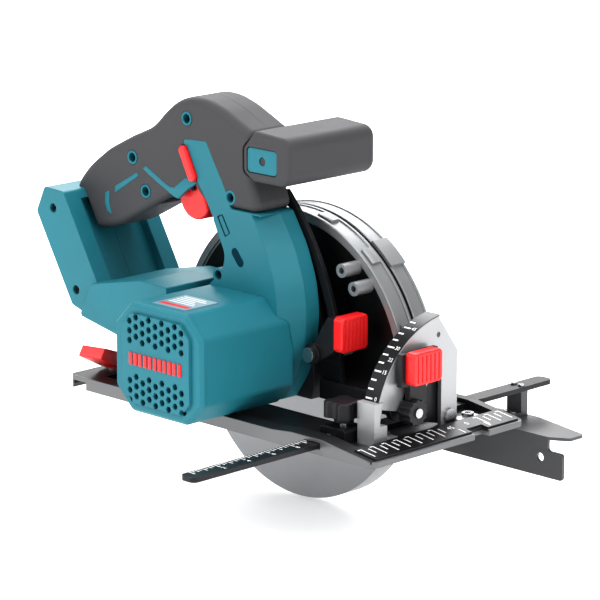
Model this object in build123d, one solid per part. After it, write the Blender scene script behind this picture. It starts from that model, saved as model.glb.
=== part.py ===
from build123d import *
import math
import os

# Cordless circular saw, in millimetres.
# Origin: on the sole, under the blade's spindle, in the blade's plane.
# +X is the cutting direction (front), +Y is away from the motor, +Z is up.

# ---------------------------------------------------------------- driving sizes
blade_diameter = 165.0
blade_thickness = 1.6
blade_teeth = 24
blade_bore_radius = 10.0
spindle_height = 24.0
spindle_radius = 5.0
running_clearance = 0.05
part_gap = 0.4

base_front = 144.0
base_rear = -122.0
base_near = -92.0
base_far = 42.0
floor_thickness = 3.5
rim_height = 8.0
rim_width = 12.0
window_front = 87.0
window_rear = -92.0
window_near = -42.0
window_far = 18.0

tilt_height = 10.0
tilt_pin_radius = 3.0
tilt_range = 50.0
quadrant_radius = 64.0
quadrant_width = 12.0
quadrant_wall = 3.0
quadrant_front = 120.0
bevel_clamp_radius = 41.0
bevel_clamp_angle = 16.0
clamp_bolt_radius = 3.0

depth_pivot_x = -110.0
depth_pivot_z = 20.0
depth_pin_radius = 4.0
depth_range = 32.0
depth_guide_inner = 152.0
depth_guide_outer = 170.0
depth_guide_near = -31.0
depth_guide_thickness = 3.0
depth_clamp_angle = 8.5

blade_tip_gap = 5.5
guard_spacing = 9.5
lower_guard_half_width = 8.0
upper_guard_half_width = 14.0
guard_wall = 2.5
guard_travel = 160.0

gear_module = 0.75
gear_teeth = 45
pinion_teeth = 9
gear_face = 8.0
motor_axis_x = -3.0
motor_near = -128.0
motor_width = 77.0
motor_height = 68.0
motor_chamfer = 14.0
motor_shaft_radius = 2.4
housing_wall = 2.5

parting_y = -43.0
handle_half_width = 17.0
shoe_near = -78.0
shoe_far = -8.0
shoe_rim = 12.0
grip_skin = 2.2
grip_edge = 5.0
handle_end_round = 6.0
front_draft = 8.5
front_handle_near = -60.0
front_handle_far = 16.0

guide_bar_width = 12.0
guide_bar_thickness = 3.0
guide_bar_x = 95.0
guide_bar_near = -193.0
guide_bar_far = 118.0
fence_y = 65.0
fence_rear = 55.0
fence_front = 155.0
fence_drop = 38.0
fence_hole_radius = 2.8
fence_hole_spacing = 64.0
knob_radius = 12.0
guide_holder_y = -65.0
guide_holder_wall = 3.5
post_y = 88.0
flange_top = -12.0
rear_lever_x = -111.0
rear_lever_y = -62.0

nozzle_hole_radius = 2.1
nozzle_circle = 89.5
nozzle_angles = (42, 51)
guard_screw_angles = (20, 75, 120, 152)
guard_boss_radius = 3.6
guard_lever_radius = 72.0
guard_lever_angle = 165.0
guard_rear_angle = 172.0
guard_front_angle = 366.0
guard_first_angle = 3.0
guard_last_angle = 172.0

inner_flange_end = -5.3
outer_flange_end = 4.2
blade_bolt_radius = 3.0
gear_far = -18.5
front_bearing_radius = 13.0
rear_bearing_radius = 9.0
motor_bearing_radius = 8.0
arm_near = -22.7
lock_pin_y = -21.0
lock_pin_radius = 3.0

trigger_pivot = (-44.0, 134.0)
trigger_pin_radius = 1.5
trigger_half_width = 12.0
lock_button_low = (-39.5, 142.5)
lock_button_high = (-47.5, 158.0)
lock_button_radius = 3.2
lock_button_proud = 2.5
grip_screws = [(-45, 178), (-95, 147), (-83, 127)]
column_screws = [(-7, 134), (-18, 84), (25, 66), (-33, 55)]
shoe_screws = [(-151, 109), (-130, 59)]
screw_recess_radius = 3.0
screw_boss_radius = 4.6
screw_hole_radius = 1.6
slot_floor = ((-157, 113), (-127, 58))
front_handle_bottom = 146.5
front_handle_top = 178.0
front_handle_rear = 4.0
front_handle_front = 44.0
handle_inset_centre = (20.5, 160.0)
handle_inset_width = 25.0
handle_inset_height = 15.0

# ---------------------------------------------------------------- sizes worked out
blade_radius = blade_diameter / 2
lower_guard_radius = blade_radius + blade_tip_gap
upper_guard_radius = lower_guard_radius + guard_spacing
guard_screw_circle = upper_guard_radius - 4.6
gear_radius = gear_module * gear_teeth / 2
pinion_radius = gear_module * pinion_teeth / 2
centre_distance = gear_radius + pinion_radius
motor_axis_z = spindle_height + math.sqrt(centre_distance ** 2 - motor_axis_x ** 2)
guard_wall_near = -upper_guard_half_width
gearbox_near = depth_guide_near - 1.5
handle_near = parting_y - handle_half_width
handle_far = parting_y + handle_half_width
depth_clamp_mid = (depth_guide_inner + depth_guide_outer) / 2
depth_clamp_x = depth_pivot_x + depth_clamp_mid * math.cos(math.radians(depth_clamp_angle))
depth_clamp_z = depth_pivot_z + depth_clamp_mid * math.sin(math.radians(depth_clamp_angle))
bevel_clamp_y = -bevel_clamp_radius * math.cos(math.radians(bevel_clamp_angle))
bevel_clamp_z = tilt_height + bevel_clamp_radius * math.sin(math.radians(bevel_clamp_angle))
apron_lip = floor_thickness
guide_bar_bottom = floor_thickness + 0.5
guide_bar_top = guide_bar_bottom + guide_bar_thickness
slope_start = guide_bar_x + guide_bar_width / 2 + 1.0
slope_top = rim_height + 1.5
snout_radius = 20.0
snout_end = -6.5
mesh_angle = math.degrees(math.atan2(motor_axis_z - spindle_height, motor_axis_x))
motor_middle = (motor_axis_x + 1.5, motor_axis_z - 1.0)


# ---------------------------------------------------------------- helpers
def slab_y(sketch, y0, y1):
    """A sketch drawn in X and Z, as a slab from y0 to y1."""
    return extrude(Plane.XZ.offset(-y1) * sketch, amount=y1 - y0)


def slab_x(sketch, x0, x1):
    """A sketch drawn in Y and Z, as a slab from x0 to x1."""
    return extrude(Plane.YZ.offset(x0) * sketch, amount=x1 - x0)


def slab_z(sketch, z0, z1):
    """A sketch drawn in X and Y, as a slab from z0 to z1."""
    return extrude(Plane.XY.offset(z0) * sketch, amount=z1 - z0)


def block(x0, x1, y0, y1, z0, z1):
    """A box between two corners."""
    return Pos((x0 + x1) / 2, (y0 + y1) / 2, (z0 + z1) / 2) * Box(x1 - x0, y1 - y0, z1 - z0)


def rod_x(y, z, radius, x0, x1):
    return slab_x(Pos(y, z) * Circle(radius), x0, x1)


def rod_y(x, z, radius, y0, y1):
    return slab_y(Pos(x, z) * Circle(radius), y0, y1)


def rod_z(x, y, radius, z0, z1):
    return slab_z(Pos(x, y) * Circle(radius), z0, z1)


def ring_y(x, z, outer, inner, y0, y1):
    return rod_y(x, z, outer, y0, y1) - rod_y(x, z, inner, y0 - 1, y1 + 1)


def flat(*points):
    """A filled outline through the points, kept anticlockwise so that slabs grow the right way."""
    following = points[1:] + points[:1]
    twice_area = sum(a[0] * b[1] - b[0] * a[1] for a, b in zip(points, following))
    ordered = points if twice_area > 0 else points[::-1]
    return Polygon(*ordered, align=None)


def rounded(points, radius):
    """A closed outline through the points, with every corner rounded."""
    shape = flat(*points)
    return fillet(shape.vertices(), radius)


def flowing(points, largest):
    """A closed outline whose corners are as round as their runs allow, up to a largest radius.

    A point that gives a third number has that corner radius instead.
    """
    count = len(points)
    radii = []
    for i, point in enumerate(points):
        here = Vector(*point[:2])
        back = Vector(*points[i - 1][:2]) - here
        ahead = Vector(*points[(i + 1) % count][:2]) - here
        half_turn = math.radians(180 - back.get_angle(ahead)) / 2
        room = 0.45 * min(back.length, ahead.length) / math.tan(half_turn)
        radii.append(min(point[2] if len(point) > 2 else largest, room))
    corners = [point[:2] for point in points]
    outline = make_face(FilletPolyline(*corners, radius=radii, close=True))
    return outline if outline.face().normal_at().Z > 0 else Sketch() + (-outline.face())


def turned(centre, radius, degrees):
    """The point at an angle on a circle, in the sketch's own two axes."""
    angle = math.radians(degrees)
    return (centre[0] + radius * math.cos(angle), centre[1] + radius * math.sin(angle))


def sector(centre, inner, outer, start, end):
    """A flat ring sector between two angles, measured from the sketch's first axis."""
    middle = (start + end) / 2
    outer_arc = ThreePointArc(
        turned(centre, outer, start), turned(centre, outer, middle), turned(centre, outer, end)
    )
    inner_arc = ThreePointArc(
        turned(centre, inner, end), turned(centre, inner, middle), turned(centre, inner, start)
    )
    sides = Line(outer_arc @ 1, inner_arc @ 0) + Line(inner_arc @ 1, outer_arc @ 0)
    return make_face(outer_arc + inner_arc + sides)


def pie(centre, outer, start, end):
    """A flat full sector of a disc between two angles."""
    middle = (start + end) / 2
    arc = ThreePointArc(
        turned(centre, outer, start), turned(centre, outer, middle), turned(centre, outer, end)
    )
    return make_face(arc + Line(arc @ 1, centre) + Line(centre, arc @ 0))


def arc_slot(centre, radius, half_width, start, end):
    """A curved slot with round ends."""
    slot = sector(centre, radius - half_width, radius + half_width, start, end)
    for angle in (start, end):
        slot += Pos(*turned(centre, radius, angle)) * Circle(half_width)
    return slot


def screw_along(direction, position, head_radius, head_height, shank_radius, shank_length):
    """A button-head screw: its head sits at the position and its shank points against the direction."""
    head = Cylinder(head_radius, head_height, align=(Align.CENTER, Align.CENTER, Align.MIN))
    shank = Cylinder(shank_radius, shank_length, align=(Align.CENTER, Align.CENTER, Align.MAX))
    socket = Pos(0, 0, head_height * 0.4) * extrude(RegularPolygon(head_radius * 0.5, 6), head_height)
    turn = {"x": Rot(0, 90, 0), "-y": Rot(90, 0, 0), "y": Rot(-90, 0, 0), "z": Rot(0, 0, 0)}[direction]
    return Pos(*position) * turn * (head + shank - socket)


spindle_centre = (0.0, spindle_height)
motor_centre = (motor_axis_x, motor_axis_z)
depth_pivot = (depth_pivot_x, depth_pivot_z)
tilt_centre = (0.0, tilt_height)


# ---------------------------------------------------------------- base and its fixed brackets
def slope_height(x):
    """Height of the base's front slope at a distance along the saw."""
    return slope_top + (apron_lip - slope_top) * (x - slope_start) / (base_front - slope_start)


def guide_clearance():
    """The straight passage that the guide bar slides through."""
    half = guide_bar_width / 2 + part_gap
    return block(
        guide_bar_x - half, guide_bar_x + half, base_near - 1, base_far + 1,
        floor_thickness, guide_bar_top + part_gap,
    )


def base_plate():
    outline = rounded(
        [(base_rear, base_near), (base_front, base_near), (base_front, base_far), (base_rear, base_far)], 5
    )
    plate = slab_z(outline, 0, floor_thickness)
    rim_points = [
        (base_rear + 1, 0), (base_front, 0), (base_front, apron_lip), (slope_start, slope_top),
        (guide_bar_x - 18, slope_top), (guide_bar_x - 34, rim_height), (base_rear + 1, rim_height),
    ]
    near_rim = slab_y(flat(*rim_points), base_near, base_near + rim_width)
    far_rim = slab_y(flat(*rim_points), base_far - rim_width / 2, base_far)
    apron_rear = quadrant_front + 4
    apron = slab_y(
        flat(
            (apron_rear, 0), (base_front, 0), (base_front, apron_lip),
            (apron_rear, slope_height(apron_rear))),
        base_near, base_far,
    )
    bridge = block(base_rear, base_rear + 22, base_near, base_far, 0, rim_height)
    window = block(window_rear, window_front, window_near, window_far, -1, rim_height + 5)
    channel = block(base_rear + 4, base_rear + 16, base_near - 1, base_far + 1, -1, rim_height - 3)
    notch = block(base_front - 6, base_front + 1, -3, 10, -1, rim_height)
    corners = slab_z(outline, -1, slope_top + 1)
    plate = (plate + near_rim + far_rim + apron + bridge) & corners
    return plate - window - channel - notch - guide_clearance()


def front_scale_plate():
    rear = quadrant_front + 5
    front = base_front - 2
    thickness = 1.2
    seat = 0.02
    outline = flat(
        (rear, slope_height(rear) + seat), (front, slope_height(front) + seat),
        (front, slope_height(front) + thickness), (rear, slope_height(rear) + thickness))
    plate = slab_y(outline, base_near + 5, base_far - 4)
    return plate - block(base_front - 7, base_front, -3.5, 10.5, 0, rim_height + 2)


def quadrant_plate():
    plate_rear = quadrant_front - quadrant_wall
    web = pie(tilt_centre, quadrant_radius, 99, 166)
    web += flat(
        (-7, tilt_height), turned(tilt_centre, quadrant_radius, 99), (7, 50), (7, 22), (0, 12))
    web -= pie(tilt_centre, 30, 90, 168)
    web += flat((-7, 42), (7, 42), (7, floor_thickness), (-7, floor_thickness))
    web += Pos(*tilt_centre) * Circle(6.5)
    web -= Pos(*tilt_centre) * Circle(tilt_pin_radius)
    web -= arc_slot(
        tilt_centre, bevel_clamp_radius, clamp_bolt_radius + part_gap,
        180 - bevel_clamp_angle - tilt_range, 180 - bevel_clamp_angle,
    )
    web -= Pos(-10, tilt_height + 52) * Circle(1.6)
    plate = slab_x(web, plate_rear, quadrant_front)
    flange = slab_x(
        sector(tilt_centre, quadrant_radius - 2.5, quadrant_radius, 96, 166),
        quadrant_front - quadrant_width, plate_rear + 0.01,
    )
    foot = block(plate_rear, quadrant_front + 4, 6, 24, floor_thickness, floor_thickness + quadrant_wall)
    foot -= rod_z(quadrant_front, 17, 2.2, 0, 20)
    return plate + flange + foot


def quadrant_foot():
    """The forked block that carries the quadrant's lower end."""
    near_end = turned(tilt_centre, quadrant_radius - 1.25, 163)
    foot = block(
        quadrant_front - quadrant_width - 1, quadrant_front + 1,
        near_end[0] - 6, near_end[0] + 5, floor_thickness, near_end[1] + 1,
    )
    foot += block(
        quadrant_front - quadrant_width - 1, quadrant_front + 1,
        near_end[0] - 6, near_end[0] + 14, floor_thickness, floor_thickness + quadrant_wall,
    )
    foot -= rod_z(quadrant_front - quadrant_width / 2, near_end[0] + 9.5, 2.2, 0, 20)
    grown = sector(tilt_centre, quadrant_radius - 2.5, quadrant_radius, 90, 167)
    foot -= slab_x(grown, quadrant_front - quadrant_width - 2, quadrant_front - quadrant_wall)
    swing = pie(tilt_centre, quadrant_radius - 2.5, 150, 175)
    foot -= slab_x(swing, quadrant_front - quadrant_width - 2, quadrant_front + 2) & block(
        0, 200, -100, near_end[0] + 6, floor_thickness + quadrant_wall, 60
    )
    web = pie(tilt_centre, quadrant_radius, 120, 168)
    return foot - slab_x(web, quadrant_front - quadrant_wall, quadrant_front)


def rear_pivot_bracket():
    """The upright that the rear tilt pin is held in, with its foot on the rear bridge."""
    upright = Pos(*tilt_centre) * Circle(7)
    upright += flat((0, 3), (28, 3), (28, 14), (6, 17), (0, 17))
    upright &= flat((-9, floor_thickness), (40, floor_thickness), (40, 30), (-9, 30))
    upright -= Pos(*tilt_centre) * Circle(tilt_pin_radius)
    plate = slab_x(upright, base_rear + 23, base_rear + 26)
    foot = block(base_rear + 8, base_rear + 23.01, 6, 28, rim_height, rim_height + 2.5)
    foot -= rod_z(base_rear + 14, 17, 2.2, 0, 20)
    return plate + foot


def tilt_pin(x_tail, x_head, head_length):
    """A headed pin along X on the tilt axis."""
    y, z = tilt_centre
    low, high = sorted((x_tail, x_head))
    pin = rod_x(y, z, tilt_pin_radius, low, high)
    return pin + rod_x(y, z, tilt_pin_radius + 1.8, *sorted((x_head, x_head + head_length)))


def front_tilt_pin():
    return tilt_pin(quadrant_front - 10, quadrant_front, 2)


def rear_tilt_pin():
    return tilt_pin(base_rear + 23, base_rear + 30, 2)


def guide_holder():
    """The block over the guide bar, tapped for the guide knob."""
    half = guide_bar_width / 2
    top = guide_bar_top + part_gap + 4.5
    holder = block(
        guide_bar_x - half - 5, guide_bar_x + half + guide_holder_wall,
        guide_holder_y - 9, guide_holder_y + 9, floor_thickness, top,
    )
    tab = block(
        guide_bar_x - half - 14, guide_bar_x - half - 4,
        guide_holder_y - 7, guide_holder_y + 7, floor_thickness, floor_thickness + 2.5,
    )
    holder = chamfer(holder.edges().filter_by(Axis.Y).group_by(Axis.Z)[-1], 1.5) + tab
    holder -= rod_z(guide_bar_x, guide_holder_y, 3.0, guide_bar_top, top + 1)
    holder -= rod_z(guide_bar_x - half - 9, guide_holder_y, 2.2, 0, 20)
    return holder - guide_clearance()


def base_screws():
    """The button-head screws of the base's brackets."""
    near_end = turned(tilt_centre, quadrant_radius - 1.25, 163)
    places = [
        (quadrant_front, 17, floor_thickness + quadrant_wall),
        (quadrant_front - quadrant_width / 2, near_end[0] + 9.5, floor_thickness + quadrant_wall),
        (base_rear + 14, 17, rim_height + 2.5),
        (guide_bar_x - guide_bar_width / 2 - 9, guide_holder_y, floor_thickness + 2.5),
    ]
    return [screw_along("z", place, 3.8, 2.2, 2.2, 2.4) for place in places] + [rear_lever_screw()]


# ---------------------------------------------------------------- rip guide
def guide_bar():
    half = guide_bar_width / 2
    bar = block(
        guide_bar_x - half, guide_bar_x + half, guide_bar_near, guide_bar_far, guide_bar_bottom, guide_bar_top
    )
    return fillet(bar.edges().filter_by(Axis.Z), half * 0.6)


def guide_post():
    """The upright between the guide bar and the fence, with a foot on the fence's flange."""
    half = guide_bar_width / 2
    post = block(guide_bar_x - half, guide_bar_x + half, post_y, post_y + 6, flange_top, guide_bar_bottom)
    foot = block(guide_bar_x - half, guide_bar_x + half, post_y - 8, post_y + 6, flange_top, flange_top + 2.5)
    return post + foot


def guide_fence():
    thickness = 2.0
    wall = flat(
        (fence_rear, -fence_drop), (fence_front, -fence_drop), (fence_front, flange_top - 9),
        (fence_front - 12, flange_top - 9), (fence_front - 12, flange_top), (fence_rear, flange_top))
    wall = fillet(wall.vertices(), 2.0)
    for side in (-1, 1):
        hole_x = (fence_rear + fence_front) / 2 + side * fence_hole_spacing / 2
        wall -= Pos(hole_x, -fence_drop + 12) * Circle(fence_hole_radius)
    fence = slab_y(wall, fence_y, fence_y + thickness)
    flange = slab_z(
        rounded([
            (fence_rear, fence_y), (fence_front - 12, fence_y), (fence_front, fence_y + 7),
            (fence_front, post_y - 3), (guide_bar_x + 14, post_y + 8), (guide_bar_x - 14, post_y + 8),
            (fence_rear, post_y - 8),
        ], 3),
        flange_top - thickness, flange_top,
    )
    return fence + flange


def guide_rivets():
    """The rivets that hold the post to the bar and to the fence."""
    half = guide_bar_width / 4
    rivets = []
    for side in (-1, 1):
        rivets.append(rod_z(guide_bar_x + side * half, post_y + 3, 2.0, guide_bar_top, guide_bar_top + 1.2))
        rivets.append(rod_z(guide_bar_x + side * half, post_y - 4, 1.8, flange_top + 2.5, flange_top + 3.7))
    return rivets


def guide_knob():
    """The four-lobed clamping knob over the guide bar."""
    bottom = guide_bar_top + part_gap + 7.0
    lobes = Circle(knob_radius * 0.72)
    for quarter in range(4):
        lobes += Rot(0, 0, 45 + 90 * quarter) * Pos(knob_radius * 0.62, 0) * Circle(knob_radius * 0.38)
    knob = slab_z(Pos(guide_bar_x, guide_holder_y) * lobes, bottom + 3, bottom + 13)
    knob = fillet(knob.edges().group_by(Axis.Z)[-1], 1.2)
    return knob + rod_z(guide_bar_x, guide_holder_y, knob_radius * 0.5, bottom, bottom + 3)


def knob_screw():
    bottom = guide_bar_top + part_gap + 7.0
    return rod_z(guide_bar_x, guide_holder_y, 3.0 - running_clearance, guide_bar_top + 0.3, bottom)


# ---------------------------------------------------------------- rear clamp lever
def rear_clamp_lever():
    hub = rod_z(rear_lever_x, rear_lever_y, 8.0, rim_height + 1.8, rim_height + 6)
    blade_shape = flat((-30, 9), (-6, -2.8), (4, -2.8), (4, 1), (-6, 8), (-25, 15))
    arm = extrude(Plane.YZ.offset(-8) * blade_shape, amount=17)
    arm = fillet(arm.edges().filter_by(Axis.X), 1.2)
    arm = Pos(rear_lever_x, rear_lever_y, rim_height + 4.8) * Rot(0, 0, 14) * arm
    lever = hub + arm
    return lever - rod_z(rear_lever_x, rear_lever_y, 3.0, 0, rim_height + 9)


def rear_lever_screw():
    """The pivot screw of the rear clamp lever, with its washer on the bridge."""
    washer = rod_z(rear_lever_x, rear_lever_y, 6.5, rim_height, rim_height + 1.4)
    return washer + rod_z(rear_lever_x, rear_lever_y, 3.0 - running_clearance, rim_height, rim_height + 8)


# ---------------------------------------------------------------- tilting frame
def tilt_bracket_front():
    rear = quadrant_front - 8
    plate = Pos(*tilt_centre) * Circle(6)
    plate += Pos(bevel_clamp_y, bevel_clamp_z) * Circle(8)
    plate += flat(
        (bevel_clamp_y - 6, bevel_clamp_z - 5), (0, tilt_height - 6), (5.5, tilt_height + 2),
        (4, 49), (-10, 52), (bevel_clamp_y + 6, 46))
    plate -= Pos(*tilt_centre) * Circle(tilt_pin_radius + running_clearance)
    plate -= Pos(bevel_clamp_y, bevel_clamp_z) * Circle(clamp_bolt_radius)
    bracket = slab_x(plate, rear, rear + 4)
    arm = block(
        depth_pivot_x + depth_guide_inner + 2, rear,
        depth_guide_near - 3, depth_guide_near - part_gap + 0.4, 13, 25,
    )
    end_web = block(rear - 3, rear, depth_guide_near - 3, -6, 16, 42)
    return bracket + arm + end_web


def depth_guide():
    """The curved plate whose slot guides the depth clamp."""
    low = -2.0
    high = depth_clamp_angle + depth_range + 3.5
    plate = sector(depth_pivot, depth_guide_inner, depth_guide_outer, low, high)
    plate -= arc_slot(
        depth_pivot, depth_clamp_mid, clamp_bolt_radius + part_gap,
        depth_clamp_angle, depth_clamp_angle + depth_range,
    )
    return slab_y(plate, depth_guide_near, depth_guide_near + depth_guide_thickness)


def tilt_bracket_rear():
    """The rear bracket: an upright on the tilt pin and two ears for the depth pivot pin."""
    plate_rear = base_rear + 26.5
    plate_front = plate_rear + 3
    upright = Pos(*tilt_centre) * Circle(6)
    upright += flat((0, tilt_height - 6), (0, tilt_height + 3), (-26, tilt_height + 3), (-26, 6))
    upright -= Pos(*tilt_centre) * Circle(tilt_pin_radius + running_clearance)
    bracket = slab_x(upright, plate_rear, plate_front)
    ear = Pos(*depth_pivot) * Circle(7)
    ear += flat(
        (plate_front, 6), (plate_front, tilt_height + 3), (depth_pivot_x + 4, depth_pivot_z + 6),
        (depth_pivot_x - 3, depth_pivot_z - 6), (plate_rear - 3, 9))
    ear -= Pos(*depth_pivot) * Circle(depth_pin_radius)
    for near in (-26.0, -11.0):
        bracket += slab_y(ear, near, near + 2.7)
    return bracket


def depth_pivot_pin():
    pin = rod_y(*depth_pivot, depth_pin_radius, -28, -8)
    return pin + rod_y(*depth_pivot, depth_pin_radius + 2, -30, -26)


def bevel_clamp_bolt():
    rear = quadrant_front - 8
    bolt = rod_x(bevel_clamp_y, bevel_clamp_z, clamp_bolt_radius, rear - 3, quadrant_front + 12.5)
    return bolt + slab_x(Pos(bevel_clamp_y, bevel_clamp_z) * RegularPolygon(5.5, 6), rear - 3, rear)


def bevel_lever_hub():
    """The knurled nut of the bevel lock."""
    y, z = bevel_clamp_y, bevel_clamp_z
    start = quadrant_front + 2 + part_gap
    knurl = Circle(7.2)
    for step in range(12):
        knurl += Rot(0, 0, 30 * step) * Pos(7.0, 0) * Circle(1.1)
    hub = slab_x(Pos(y, z) * knurl, start, start + 9)
    neck = block(start, start + 4, y - 2, y + 12, z + 2, z + 32)
    neck += block(start - 0, start + 4, y - 9, y + 22, z + 16, z + 36)
    return hub + neck - rod_x(y, z, clamp_bolt_radius + running_clearance, start - 1, start + 20)


def lever_pad(width, height, depth, ribs):
    """A ribbed thumb pad, its back on the plane x = 0 and its middle on the X axis."""
    pad = Pos(depth / 2, 0, 0) * Box(depth, width, height)
    pad = fillet(pad.edges().filter_by(Axis.X), 3.2)
    pad = fillet(pad.faces().sort_by(Axis.X)[-1].outer_wire().edges(), 1.2)
    pitch = width / (ribs + 1)
    for rib in range(ribs):
        y = -width / 2 + pitch * (rib + 1)
        pad -= Pos(depth, y, 0) * Box(1.2, pitch * 0.35, height - 4)
    return pad


def bevel_lever_pad():
    start = quadrant_front + 6 + part_gap
    return Pos(start, bevel_clamp_y + 6.5, bevel_clamp_z + 27) * lever_pad(25, 20, 7, 6)


# ---------------------------------------------------------------- guards
def guard_ring(depth):
    """The fixed guard's rim, from its outside inwards."""
    outer = upper_guard_radius
    return sector(spindle_centre, outer - depth, outer, guard_first_angle, guard_last_angle)


def guard_corner(angle):
    """Where the guard's wall runs out of its arc."""
    return turned(spindle_centre, upper_guard_radius - 7.5, angle)


def upper_guard_inner():
    """The motor-side half of the fixed guard, with the bosses for a dust nozzle."""
    near = -upper_guard_half_width
    wall = pie(spindle_centre, upper_guard_radius, guard_first_angle, guard_last_angle)
    wall += flat(guard_corner(guard_first_angle), (60, 14), (-52, 14), guard_corner(guard_last_angle))
    wall -= Circle(snout_radius).moved(Location((0, spindle_height, 0)))
    shell = slab_y(wall, near, near + guard_wall)
    shell += slab_y(guard_ring(guard_wall), near, 0)
    shell += slab_y(guard_ring(guard_wall + 1.5), near - 1.2, near + 0.01)
    for angle in nozzle_angles:
        x, z = turned(spindle_centre, nozzle_circle, angle)
        shell += rod_y(x, z, 4.4, near - 14, near + 0.01)
        shell -= rod_y(x, z, nozzle_hole_radius, near - 15, near + 0.0)
    x, z = depth_clamp_x, depth_clamp_z
    shell += rod_y(x, z, 6.0, depth_guide_near + depth_guide_thickness + 0.3, near + 0.01)
    shell -= rod_y(x, z, clamp_bolt_radius, depth_guide_near, near + 1.5)
    for angle in guard_screw_angles:
        x, z = turned(spindle_centre, guard_screw_circle, angle)
        shell += rod_y(x, z, guard_boss_radius, near, 0)
        shell -= rod_y(x, z, 1.6, -8, 1)
    return shell


def upper_guard_outer():
    """The blade-side half of the fixed guard, with the slot for the lower guard's lever."""
    far = upper_guard_half_width
    wall = pie(spindle_centre, upper_guard_radius, guard_first_angle, guard_last_angle)
    wall += flat(guard_corner(guard_first_angle), (50, 22), (-52, 22), guard_corner(guard_last_angle))
    wall -= Circle(24).moved(Location((0, spindle_height, 0)))
    wall -= arc_slot(
        spindle_centre, guard_lever_radius, 3.5, guard_lever_angle - guard_travel - 0.5, guard_lever_angle + 0.5
    )
    shell = slab_y(wall, far - guard_wall, far)
    shell += slab_y(guard_ring(guard_wall), 0, far)
    bump = sector(spindle_centre, upper_guard_radius - 1, upper_guard_radius + 2.2, 45, 57)
    shell += slab_y(bump, 1, far)
    for angle in guard_screw_angles:
        x, z = turned(spindle_centre, guard_screw_circle, angle)
        shell += rod_y(x, z, guard_boss_radius, 0, far)
        shell -= rod_y(x, z, 1.8, -1, far + 1)
    return shell - block(-150, 150, -1, far + 1, -90, 22)


def guard_screws():
    far = upper_guard_half_width
    screws = []
    for angle in guard_screw_angles:
        x, z = turned(spindle_centre, guard_screw_circle, angle)
        screws.append(screw_along("y", (x, far, z), 3.2, 1.6, 1.55, far + 5))
    return screws


def lower_guard():
    """The sprung guard: a near wall on the gearbox snout, a rim, and a narrow far wall."""
    half = lower_guard_half_width
    start, end = guard_rear_angle, guard_front_angle
    near_wall = sector(spindle_centre, snout_radius + 4, lower_guard_radius, start, end)
    near_wall += Pos(0, spindle_height) * Circle(snout_radius + 7)
    near_wall -= Pos(0, spindle_height) * Circle(snout_radius + running_clearance)
    guard = slab_y(near_wall, -half, -half + 2)
    rim = sector(spindle_centre, lower_guard_radius - 2.2, lower_guard_radius, start, end)
    guard += slab_y(rim, -half, half)
    guard += slab_y(sector(spindle_centre, 62, lower_guard_radius, start, end), half - 2, half)
    hub = Pos(0, spindle_height) * Circle(snout_radius + 3.5)
    hub -= Pos(0, spindle_height) * Circle(snout_radius + running_clearance)
    return guard + slab_y(hub, -half - 3, -half + 0.01)


def guard_lever():
    """The finger lever of the lower guard, reached through the slot in the fixed guard."""
    angle = guard_lever_angle
    outside = upper_guard_half_width + 2.2
    tip_radius = upper_guard_radius + 6
    stem = rod_y(*turned(spindle_centre, guard_lever_radius, angle), 3.0, lower_guard_half_width, outside + 1)
    tab = Pos(*turned(spindle_centre, guard_lever_radius, angle)) * Circle(6)
    tab += flat(
        turned(spindle_centre, guard_lever_radius, angle - 5), turned(spindle_centre, tip_radius, angle - 5),
        turned(spindle_centre, tip_radius, angle + 4), turned(spindle_centre, guard_lever_radius, angle + 5),
    )
    plate = slab_y(tab, outside, outside + 2.8)
    thumb = sector(spindle_centre, tip_radius - 3.5, tip_radius + 0.5, angle - 8, angle + 7)
    return stem + plate + slab_y(thumb, outside, outside + 10)


# ---------------------------------------------------------------- spindle and blade
def saw_blade():
    """The toothed disc: each tooth has a steep face, a tip and a sloping back with a gullet."""
    points = []
    step = 360 / blade_teeth
    for tooth in range(blade_teeth):
        angle = tooth * step
        points.append(turned(spindle_centre, blade_radius - 7.0, angle - step * 0.84))
        points.append(turned(spindle_centre, blade_radius - 3.2, angle - step * 0.62))
        points.append(turned(spindle_centre, blade_radius - 0.6, angle - step * 0.14))
        points.append(turned(spindle_centre, blade_radius, angle))
        points.append(turned(spindle_centre, blade_radius - 8.0, angle + step * 0.02))
    disc = flat(*points)
    disc -= Pos(*spindle_centre) * Circle(blade_bore_radius)
    for slot in range(4):
        disc -= arc_slot(spindle_centre, blade_radius * 0.62, 1.0, 20 + 90 * slot, 42 + 90 * slot)
    return slab_y(disc, -blade_thickness / 2, blade_thickness / 2)


def spindle():
    shaft = rod_y(*spindle_centre, spindle_radius, gearbox_near + 2, outer_flange_end - 0.4)
    shaft += rod_y(*spindle_centre, spindle_radius + 2, -16.5, -15.0)
    return shaft - rod_y(*spindle_centre, blade_bolt_radius, -14, outer_flange_end)


def inner_flange():
    half = blade_thickness / 2
    flange = rod_y(*spindle_centre, snout_radius - 1, inner_flange_end, -half)
    flange += rod_y(*spindle_centre, blade_bore_radius - running_clearance, -half - 0.1, half)
    return flange - rod_y(*spindle_centre, spindle_radius, -10, 2)


def outer_flange():
    half = blade_thickness / 2
    flange = rod_y(*spindle_centre, 16.0, half, outer_flange_end)
    flange = chamfer(flange.edges().group_by(Axis.Y)[-1], 1.0)
    return flange - rod_y(*spindle_centre, spindle_radius, 0, outer_flange_end - 0.4 + 0.01) - rod_y(
        *spindle_centre, blade_bolt_radius, 0, outer_flange_end + 1
    )


def blade_bolt():
    head = slab_y(Pos(*spindle_centre) * RegularPolygon(7.5, 6), outer_flange_end, outer_flange_end + 5)
    head -= slab_y(Pos(*spindle_centre) * RegularPolygon(2.9, 6), outer_flange_end + 1.5, outer_flange_end + 6)
    return head + rod_y(*spindle_centre, blade_bolt_radius, -12, outer_flange_end + 0.01)


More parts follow.
